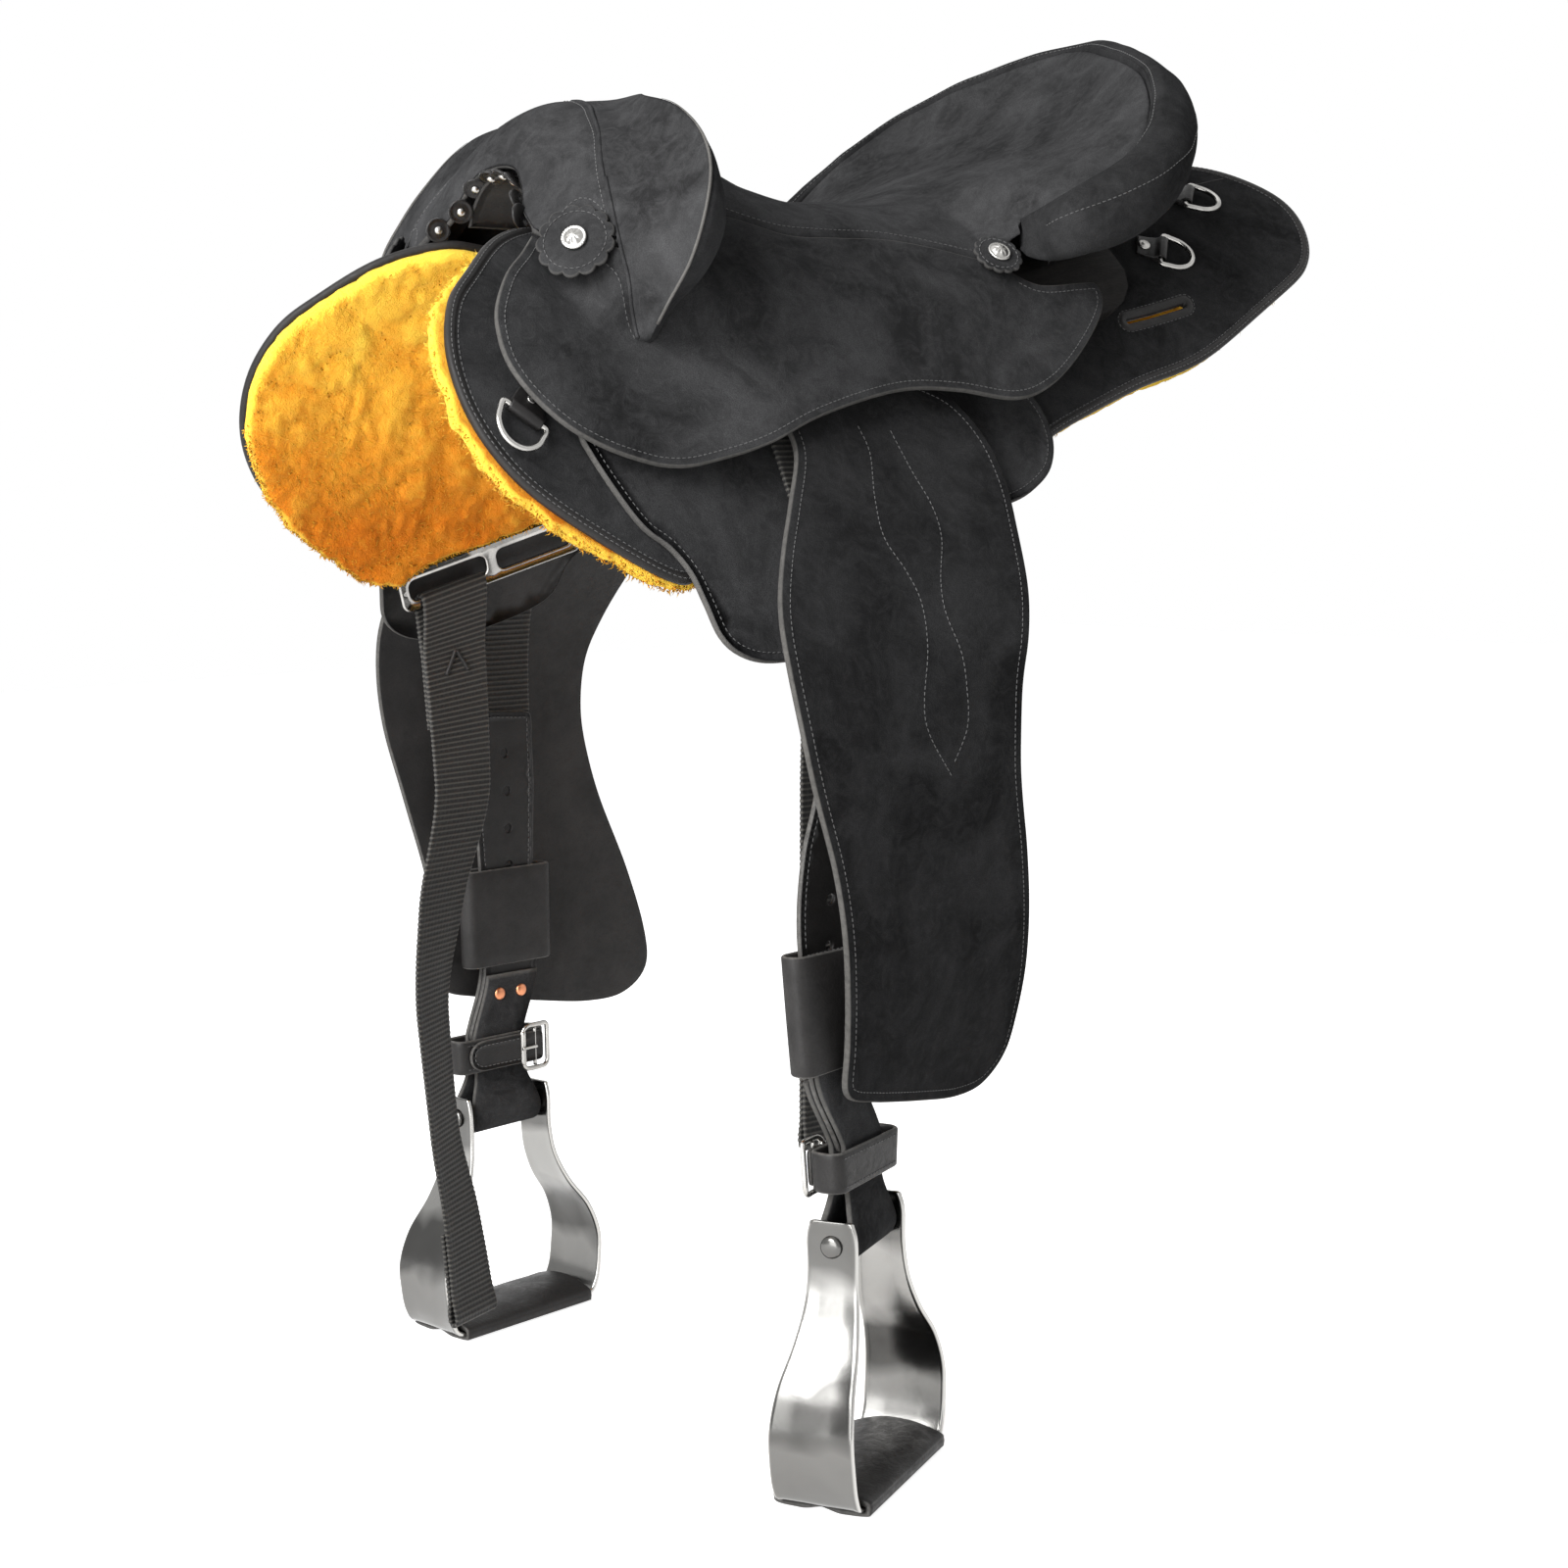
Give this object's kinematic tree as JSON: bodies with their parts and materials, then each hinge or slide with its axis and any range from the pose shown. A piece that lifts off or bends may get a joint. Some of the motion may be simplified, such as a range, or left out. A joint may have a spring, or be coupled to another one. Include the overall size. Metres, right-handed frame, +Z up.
{
  "type": "half breed saddle",
  "caption": "Half breed stock saddle with padded poleys, dished seat, fleece-lined skirts, fenders on hanging straps, bell stirrups, rigging rings and long latigos.",
  "frame": {"origin": "top of the animal's back under the seat's middle, on the saddle's middle plane", "axes": "-X toward the pommel, -Y toward the near (left) side, +Z up"},
  "size_m": [0.696, 0.4685, 0.8549],
  "materials": {
    "suede": "roughout black leather",
    "smooth_leather": "smooth black leather",
    "lining": "smooth dark brown leather",
    "fleece": "golden yellow wool fleece",
    "wood": "bare tree boards, hidden",
    "webbing": "ribbed black nylon webbing",
    "steel": "polished steel",
    "aluminium": "polished aluminium"
  },
  "bodies": {
    "saddle": {"cantle_back": "suede", "concho_front_near": "steel", "concho_front_off": "steel", "concho_rear_near": "steel", "concho_rear_off": "steel", "fleece_near": "fleece", "fleece_off": "fleece", "gullet_lining": "lining", "jockey_near": "suede", "jockey_off": "suede", "keeper_dee_front_near": "smooth_leather", "keeper_dee_front_off": "smooth_leather", "keeper_dee_rear_lower_near": "smooth_leather", "keeper_dee_rear_lower_off": "smooth_leather", "keeper_dee_rear_upper_near": "smooth_leather", "keeper_dee_rear_upper_off": "smooth_leather", "poley_near": "suede", "poley_off": "suede", "pommel_cover": "suede", "rigging_panel_near": "suede", "rigging_panel_off": "suede", "rigging_plate_near": "steel", "rigging_plate_off": "steel", "rosette_front_near": "suede", "rosette_front_off": "suede", "rosette_rear_near": "suede", "rosette_rear_off": "suede", "seat": "suede", "skirt_near": "suede", "skirt_off": "suede", "tree_bar_near": "wood", "tree_bar_off": "wood", "tree_cantle": "wood", "tree_fork": "wood"},
    "hanging_set_near": {"fender_near": "suede", "stirrup_leather_near": "webbing", "stirrup_loop_near": "suede", "strap_keeper_near": "smooth_leather", "hobble_strap_near": "suede", "hobble_buckle_near": "steel"},
    "stirrup_near": {"stirrup_bow_near": "aluminium", "stirrup_bolt_near": "steel", "tread_cover_near": "smooth_leather"},
    "latigo_set_near": {"latigo_near": "webbing"},
    "ring_front_near": {"dee_front_near": "steel"},
    "ring_rear_lower_near": {"dee_rear_lower_near": "steel"},
    "ring_rear_upper_near": {"dee_rear_upper_near": "steel"},
    "hanging_set_off": {"fender_off": "suede", "stirrup_leather_off": "webbing", "stirrup_loop_off": "suede", "strap_keeper_off": "smooth_leather", "hobble_strap_off": "suede", "hobble_buckle_off": "steel"},
    "stirrup_off": {"stirrup_bow_off": "aluminium", "stirrup_bolt_off": "steel", "tread_cover_off": "smooth_leather"},
    "latigo_set_off": {"latigo_off": "webbing"},
    "ring_front_off": {"dee_front_off": "steel"},
    "ring_rear_lower_off": {"dee_rear_lower_off": "steel"},
    "ring_rear_upper_off": {"dee_rear_upper_off": "steel"}
  },
  "joints": [
    {"name": "fender_swing_near", "type": "hinge", "parent": "saddle", "child": "hanging_set_near", "pos_m": [-0.098, -0.07837, -0.0142], "axis": [0, -0.7774, 0.629], "range_deg": [-8, 10]},
    {"name": "stirrup_swing_near", "type": "hinge", "parent": "hanging_set_near", "child": "stirrup_near", "pos_m": [-0.116, -0.18946, -0.53402], "axis": [0.8968, 0.4424, 0], "range_deg": [-35, 4]},
    {"name": "latigo_swing_near", "type": "hinge", "parent": "saddle", "child": "latigo_set_near", "pos_m": [-0.09446, -0.15184, -0.16242], "axis": [0.947, 0.1348, 0.2914], "range_deg": [0, 25]},
    {"name": "dee_lift_front_near", "type": "hinge", "parent": "saddle", "child": "ring_front_near", "pos_m": [-0.283, -0.13317, -0.07812], "axis": [-0.7882, 0.2291, 0.5712], "range_deg": [0, 100]},
    {"name": "dee_lift_rear_lower_near", "type": "hinge", "parent": "saddle", "child": "ring_rear_lower_near", "pos_m": [0.248, -0.0862, 0.03218], "axis": [-0.568, -0.4478, -0.6905], "range_deg": [0, 120]},
    {"name": "dee_lift_rear_upper_near", "type": "hinge", "parent": "saddle", "child": "ring_rear_upper_near", "pos_m": [0.301, -0.06119, 0.07256], "axis": [-0.6664, -0.4927, -0.5596], "range_deg": [0, 120]},
    {"name": "fender_swing_off", "type": "hinge", "parent": "saddle", "child": "hanging_set_off", "pos_m": [-0.098, 0.07837, -0.0142], "axis": [0, 0.7774, 0.629], "range_deg": [-10, 8]},
    {"name": "stirrup_swing_off", "type": "hinge", "parent": "hanging_set_off", "child": "stirrup_off", "pos_m": [-0.116, 0.18946, -0.53402], "axis": [0.9914, 0.1305, 0], "range_deg": [-4, 35]},
    {"name": "latigo_swing_off", "type": "hinge", "parent": "saddle", "child": "latigo_set_off", "pos_m": [-0.15507, 0.16046, -0.18107], "axis": [0.947, -0.1348, 0.2914], "range_deg": [-25, 0]},
    {"name": "dee_lift_front_off", "type": "hinge", "parent": "saddle", "child": "ring_front_off", "pos_m": [-0.283, 0.13317, -0.07812], "axis": [0.7882, 0.2291, -0.5712], "range_deg": [0, 100]},
    {"name": "dee_lift_rear_lower_off", "type": "hinge", "parent": "saddle", "child": "ring_rear_lower_off", "pos_m": [0.248, 0.0862, 0.03218], "axis": [0.568, -0.4478, 0.6905], "range_deg": [0, 120]},
    {"name": "dee_lift_rear_upper_off", "type": "hinge", "parent": "saddle", "child": "ring_rear_upper_off", "pos_m": [0.301, 0.06119, 0.07256], "axis": [0.6664, -0.4927, 0.5596], "range_deg": [0, 120]}
  ]
}
